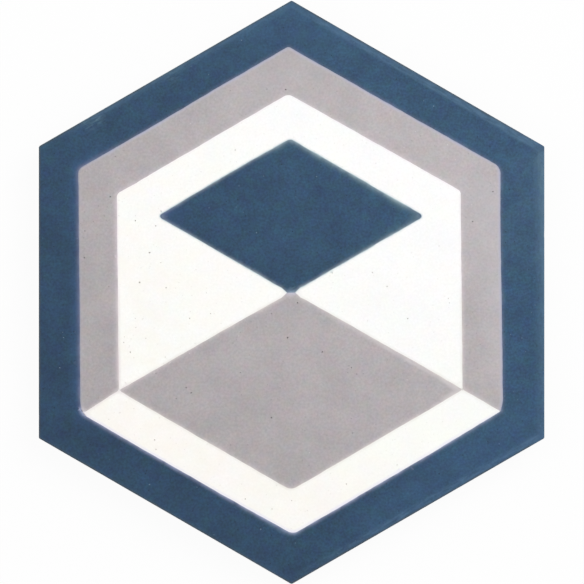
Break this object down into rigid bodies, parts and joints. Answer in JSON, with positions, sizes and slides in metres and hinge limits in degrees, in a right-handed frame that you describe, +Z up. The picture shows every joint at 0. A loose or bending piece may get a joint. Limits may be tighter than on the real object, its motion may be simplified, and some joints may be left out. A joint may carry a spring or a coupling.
{
  "type": "hexagon floor tile",
  "caption": "Flat hexagonal cement floor tile, pressed in one piece, with a navy, grey and white cube figure in its wear face and a shallow recess in its back.",
  "frame": {"origin": "middle of the underside, in the plane of the rim that the tile rests on", "axes": "+Z up through the wear face, +Y towards the corner that the figure's navy rhombus points to, +X across the flats to the right"},
  "size_m": [0.2, 0.2306, 0.016],
  "materials": {
    "pigmented_cement": "matte"
  },
  "bodies": {
    "root": {"hexagon_tile": "pigmented_cement"}
  },
  "joints": []
}
